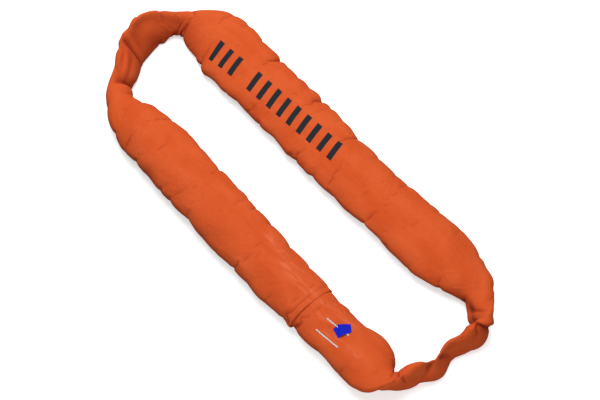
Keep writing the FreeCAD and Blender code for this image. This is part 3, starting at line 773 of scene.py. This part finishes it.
def add_coordinates(mesh, low, high, fields, normals):
    """UV maps of the cloth and the print, point fields and custom normals, for rings low to high."""
    rows = slice(low, high + 1)
    i, j = np.meshgrid(np.arange(high - low), np.arange(AROUND), indexing="ij")
    corners = [(i, j), (i + 1, j), (i + 1, j + 1), (i, j + 1)]
    for name, coordinates in (("cloth", cloth_coordinates(rows)), ("print", print_coordinates(rows))):
        layer = mesh.uv_layers.new(name=name)
        both = np.stack(coordinates, -1) * MM
        loops = np.stack([both[a, b] for a, b in corners], 2).ravel()
        loops = np.concatenate([loops, np.ones(2 * len(mesh.loops) - len(loops))])
        layer.data.foreach_set("uv", loops.astype(np.float32))
    for name, values in fields.items():
        attribute = mesh.attributes.new(name, "FLOAT", "POINT")
        flat = np.append(values[rows].ravel(), (0, 0))
        attribute.data.foreach_set("value", flat.astype(np.float32))
    ends = [normals[low, 0], normals[high, 0]]
    mesh.normals_split_custom_set_from_vertices(normals[rows].reshape(-1, 3).tolist() + ends)


def blend_limit(bend, ring):
    """A point on the floor REACH millimetres from a piece's joint towards a ring, in metres."""
    pivot = LANDMARKS[bend]
    way = sleeve.path[min(ring, len(sleeve.path) - 1)] - pivot
    return Vector((*((pivot + way / np.linalg.norm(way) * REACH) * MM), 0.0))


def add_sleeve(points):
    """The sleeve, cut halfway between its joints into pieces that meet edge to edge."""
    orange = sleeve_material()
    normals = grid_normals(points)
    fields = {"hollow": crease_shade_amount(points, normals), "rubbed": painted_sheen_amount(points)}
    bends = [f"{place}_bend" for place, *_ in PIECES]
    runs = [sleeve.distance_of(bend) for bend in bends]
    middles = [ring_at((first + second) / 2) for first, second in zip(runs, runs[1:])]
    cuts = [0, *middles, len(points) - 1]
    for (place, *bodies, stretches, others), bend, low, high in zip(PIECES, bends, cuts, cuts[1:]):
        mesh = grid_mesh(f"sleeve_{place}", points[low : high + 1], closed=True)
        add_coordinates(mesh, low, high, fields, normals)
        piece = add_piece(f"sleeve_{place}", mesh, orange)
        limits = [blend_limit(bend, low), blend_limit(bend, high)]
        # At the near end the sleeve runs from the second body to the first.
        if place.startswith("near"):
            limits.reverse()
        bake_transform(piece)
        nodes = [stretch + part for stretch in stretches for part in ("_sleeve", "_core")]
        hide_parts(*nodes, *others)


# ---- stitches --------------------------------------------------------------------------------

# The two ends of each row of label stitches, from the tag's fold.
LABEL_ROWS = [
    ("stitches_inner", "label_stitches_inner", (-30.0, -0.8), (17, 5.5)),
    ("stitches_outer", "label_stitches_outer", (-28.6, -26.4), (20, -21.6)),
]
LABEL_STITCHES = 9
LABEL_STITCH = {"length": 5.4, "radius": 1.45, "rise": 1.0}

# The hem's stitches run across its upper side, this far back from its edge.
HEM_ROW_BACK = 10
HEM_ROW_TURNS = (22, 158)
HEM_STITCHES = 24
HEM_STITCH = {"length": 3.2, "radius": 0.42, "rise": 0.5}

# How much the stitches differ: the slope by which they swing, and the shares of their length.
STITCH_SWING = 0.05
STITCH_LENGTHS = (0.94, 1.04)

STITCH_SEED = 5
STITCH_STEPS = 11
THREAD_SIDES = 10

# How much of its radius a thread sinks into the sleeve.
SUNK = 0.35

# Higher than any point of the sleeve, for rays that look down at it.
ABOVE = 200


def upper_half(points):
    """The top half of the sleeve, to be looked down at."""
    faces = [
        (i * AROUND + j, (i + 1) * AROUND + j, (i + 1) * AROUND + j + 1, i * AROUND + j + 1)
        for i in range(len(points) - 1)
        for j in range(AROUND // 2)
    ]
    return BVHTree.FromPolygons([Vector(p) for p in points.reshape(-1, 3)], faces)


def top_of(x, y):
    """The point on the sleeve's top at a place, and its normal."""
    place, normal, _, _ = surface.ray_cast(Vector((x, y, ABOVE)), Vector((0, 0, -1)))
    return np.array(place), np.array(normal if normal.z > 0 else -normal)


def tube(path, radii):
    """Vertices and faces of a closed thread along a path."""
    path = np.array(path)
    along = np.gradient(path, axis=0)
    along /= np.linalg.norm(along, axis=1, keepdims=True)
    side = np.cross(along, (0, 0, 1))
    side /= np.linalg.norm(side, axis=1, keepdims=True)
    up = np.cross(side, along)
    angle = np.arange(THREAD_SIDES) * 2 * np.pi / THREAD_SIDES
    rings = path[:, None] + np.array(radii)[:, None, None] * (
        np.cos(angle)[None, :, None] * side[:, None] + np.sin(angle)[None, :, None] * up[:, None]
    )
    faces = []
    for i in range(len(path) - 1):
        row, following = i * THREAD_SIDES, (i + 1) * THREAD_SIDES
        for j in range(THREAD_SIDES):
            after = (j + 1) % THREAD_SIDES
            faces.append((row + j, row + after, following + after, following + j))
    faces.append(tuple(range(THREAD_SIDES))[::-1])
    faces.append(tuple((len(path) - 1) * THREAD_SIDES + j for j in range(THREAD_SIDES)))
    return rings.reshape(-1, 3), faces


def stitch_row(name, places, stitch, material, random):
    """One mesh of short threads that dive into the sleeve at both ends; each place has a heading."""
    vertices, faces, start = [], [], 0
    steps = np.linspace(0, 1, STITCH_STEPS)
    radius = stitch["radius"]
    for place, heading in places:
        heading = heading / np.linalg.norm(heading)
        turn = random.normal(0, STITCH_SWING)
        way = np.array([heading[0] - turn * heading[1], heading[1] + turn * heading[0]])
        reach = stitch["length"] * random.uniform(*STITCH_LENGTHS)
        path = []
        for step in steps:
            point = place + way * (step - 0.5) * reach
            ground, normal = top_of(*point)
            path.append(ground + normal * (stitch["rise"] * math.sin(math.pi * step) - SUNK * radius))
        radii = radius * np.sin(np.pi * np.clip(steps, 0.04, 0.96)) ** 0.3
        more, more_faces = tube(path, radii)
        vertices.extend((more * MM).tolist())
        faces.extend(tuple(start + k for k in face) for face in more_faces)
        start += len(more)
    mesh = bpy.data.meshes.new(name)
    mesh.from_pydata(vertices, [], faces)
    mesh.shade_smooth()
    return add_piece(name, mesh, material)


def label_row(start, end):
    """Evenly spaced stitches between two places from the tag's fold, each with its heading."""
    way = np.subtract(end, start)
    shares = (np.arange(LABEL_STITCHES) + 0.5) / LABEL_STITCHES
    return [(LANDMARKS["tag_fold"] + start + way * share, way) for share in shares]


def hem_row(points):
    """Stitches across the hem, each with its heading."""
    ring = ring_at(sleeve.along[-1] - HEM_ROW_BACK)
    places = []
    for wanted in np.linspace(*HEM_ROW_TURNS, HEM_STITCHES):
        k = int(np.abs(turned(sleeve.turn[ring], wanted)).argmin())
        places.append((points[ring, k, :2], points[ring, k + 1, :2] - points[ring, k - 1, :2]))
    return places


def add_stitches(points):
    """The two rows of white label stitches, and the hem's row in the sleeve's own colour."""
    random = np.random.default_rng(STITCH_SEED)
    white = thread_material("label_thread", (0.62, 0.6, 0.6), (0.93, 0.92, 0.92))
    orange = thread_material("sleeve_thread", (0.5, 0.06, 0.015), (0.74, 0.13, 0.03))
    for name, node, start, end in LABEL_ROWS:
        row = stitch_row(name, label_row(start, end), LABEL_STITCH, white, random)
        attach(row, "tucked_leg")
        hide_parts(node)
    hem = stitch_row("stitches_hem", hem_row(points), HEM_STITCH, orange, random)
    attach(hem, "label_leg")
    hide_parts("closing_stitches")


# ---- tag -------------------------------------------------------------------------------------

# Corners in mm along the fold's axis and over the fold: two by the fold, then the two far ones.
SEWN_CORNERS = [(-10.2, -0.6), (12, -0.6), (-4.4, -9.6), (13.2, -4.0)]
FLAP_CORNERS = [(-9.8, -1.2), (12, -1.2), (-7.6, 20.4), (6.2, 19.6)]
RIBBON_THICKNESS = 0.7
RIBBON_STEPS = 18
RIBBON_CREASE = math.radians(50)


def sewn_height(u, v, ground):
    """The sewn strip hugs the sleeve and rises at the fold."""
    return ground + RIBBON_THICKNESS + 1.9 * (1 - v) ** 6 + 0.15 * np.sin(7 * u)


def flap_height(u, v, ground):
    """The flap springs over the stitches and dips again, with a lazy wave across it."""
    level = ground.max() + 2.2 + 1.1 * np.sin(math.pi * np.minimum(v * 1.3, 1)) - 1.2 * v**2
    return level + 0.35 * np.sin(5 * u + 1) * v + 0.8 * (1 - u) * v**2


def ribbon_faces():
    """Faces of a ribbon panel whose top grid of points comes first and its bottom grid after."""
    count = RIBBON_STEPS * RIBBON_STEPS
    top = np.arange(count).reshape(RIBBON_STEPS, RIBBON_STEPS)
    bottom = top + count
    faces = []
    for i in range(RIBBON_STEPS - 1):
        for j in range(RIBBON_STEPS - 1):
            faces.append((top[i, j], top[i + 1, j], top[i + 1, j + 1], top[i, j + 1]))
            faces.append((bottom[i, j], bottom[i, j + 1], bottom[i + 1, j + 1], bottom[i + 1, j]))
    rim = np.concatenate([top[:, 0], top[-1, 1:], top[-2::-1, -1], top[0, -2:0:-1]])
    for a, b in zip(rim, np.roll(rim, -1)):
        faces.append((b, a, a + count, b + count))
    return [tuple(int(k) for k in face) for face in faces]


def ribbon(name, corners, height, material):
    """A thin ribbon panel on the sleeve, its height a function of the shares along and over."""
    share = np.linspace(0, 1, RIBBON_STEPS)
    u, v = np.meshgrid(share, share, indexing="ij")
    near, far = np.array(corners[:2]), np.array(corners[2:])
    flat = (
        near[0] * ((1 - u) * (1 - v))[..., None]
        + near[1] * (u * (1 - v))[..., None]
        + far[0] * ((1 - u) * v)[..., None]
        + far[1] * (u * v)[..., None]
    )
    axis = np.array(TAG_FOLD["axis"][:2])
    over = np.array([-axis[1], axis[0]])
    plan = LANDMARKS["tag_fold"] + flat[..., :1] * axis + flat[..., 1:] * over
    ground = np.array([[top_of(*place)[0][2] for place in row] for row in plan])
    level = height(u, v, ground)
    top = np.dstack([plan, level])
    bottom = np.dstack([plan, level - RIBBON_THICKNESS])
    vertices = np.concatenate([top.reshape(-1, 3), bottom.reshape(-1, 3)])
    mesh = bpy.data.meshes.new(name)
    mesh.from_pydata((vertices * MM).tolist(), [], ribbon_faces())
    layer = mesh.uv_layers.new(name="ribbon")
    local = np.concatenate([flat.reshape(-1, 2)] * 2) * MM
    corner_vertices = np.zeros(len(mesh.loops), np.int32)
    mesh.loops.foreach_get("vertex_index", corner_vertices)
    layer.data.foreach_set("uv", local[corner_vertices].astype(np.float32).ravel())
    mesh.shade_smooth()
    mesh.set_sharp_from_angle(angle=RIBBON_CREASE)
    return add_piece(name, mesh, material)


def add_tag():
    """The folded ribbon: its sewn end on the sleeve and its loose flap on the tag's own body."""
    blue = ribbon_material()
    for name, corners, height, body, node in (
        ("tag_sewn", SEWN_CORNERS, sewn_height, "tucked_leg", "tag_sewn_end"),
        ("tag_flap_ribbon", FLAP_CORNERS, flap_height, "tag", "tag_flap"),
    ):
        panel = ribbon(name, corners, height, blue)
        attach(panel, body)
        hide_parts(node)


# ---- stage, in metres ------------------------------------------------------------------------

FLOOR_HALF = 30.0
FLOOR_DROP = 0.001
CAMERA_AZIMUTH = math.radians(48.75)
CAMERA_ELEVATION = math.radians(60)
CAMERA_DISTANCE = 2.08
CAMERA_TARGET = Vector((0.038, 0.0, 0.03))
CAMERA_LENS = 70
WORLD_STRENGTH = 0.2


def facing(direction):
    """The rotation of a light or camera that looks along a direction."""
    return direction.to_track_quat("-Z", "Y").to_euler()


def add_floor():
    """A pale floor that looks white to the camera but throws little light on the sling."""
    mesh = bpy.data.meshes.new("floor")
    corners = [(-1, -1, 0), (1, -1, 0), (1, 1, 0), (-1, 1, 0)]
    mesh.from_pydata([(x * FLOOR_HALF, y * FLOOR_HALF, z) for x, y, z in corners], [], [(0, 1, 2, 3)])
    n = Nodes("floor")
    seen = n.add("ShaderNodeLightPath").outputs["Is Camera Ray"]
    n.finish(
        Base_Color=n.mix(seen, (0.2, 0.2, 0.2), (0.86, 0.86, 0.86)),
        Roughness=0.95,
        Emission_Color=(1, 1, 1, 1),
        Emission_Strength=n.maths("MULTIPLY", seen, 0.55),
    )
    floor = add_piece("floor", mesh, n.material)
    floor.location.z = -FLOOR_DROP


def add_light(name, size, energy, place, target):
    """A square area light at a place, turned towards a target."""
    light = bpy.data.lights.new(name, "AREA")
    light.size = size
    light.energy = energy
    lamp = bpy.data.objects.new(name, light)
    lamp.location = place
    lamp.rotation_euler = facing(Vector(target) - Vector(place))
    bpy.context.scene.collection.objects.link(lamp)


def add_camera():
    """The camera at the photograph's viewing angle."""
    back = Vector((
        math.sin(CAMERA_AZIMUTH) * math.cos(CAMERA_ELEVATION),
        -math.cos(CAMERA_AZIMUTH) * math.cos(CAMERA_ELEVATION),
        math.sin(CAMERA_ELEVATION),
    ))
    camera = bpy.data.cameras.new("camera")
    camera.lens = CAMERA_LENS
    view = bpy.data.objects.new("camera", camera)
    view.location = CAMERA_TARGET + back * CAMERA_DISTANCE
    view.rotation_euler = facing(-back)
    bpy.context.scene.collection.objects.link(view)
    bpy.context.scene.camera = view


def make_stage():
    """The floor, a soft light from above and behind with a weak one from the side, and the camera."""
    bpy.context.scene.view_settings.view_transform = "Standard"
    world = bpy.data.worlds.new("studio")
    world.use_nodes = True
    background = world.node_tree.nodes["Background"].inputs
    background["Color"].default_value = (1, 1, 1, 1)
    background["Strength"].default_value = WORLD_STRENGTH
    bpy.context.scene.world = world
    add_floor()
    add_light("key", size=1.8, energy=52, place=(-0.62, 0.42, 2.1), target=(0, 0, 0))
    add_light("fill", size=0.5, energy=2.2, place=(0.95, -0.5, 0.35), target=(0.4, -0.05, 0.03))
    add_camera()


points = with_hem(shaped_points())
surface = upper_half(points)
add_sleeve(points)
add_stitches(points)
add_tag()
make_stage()
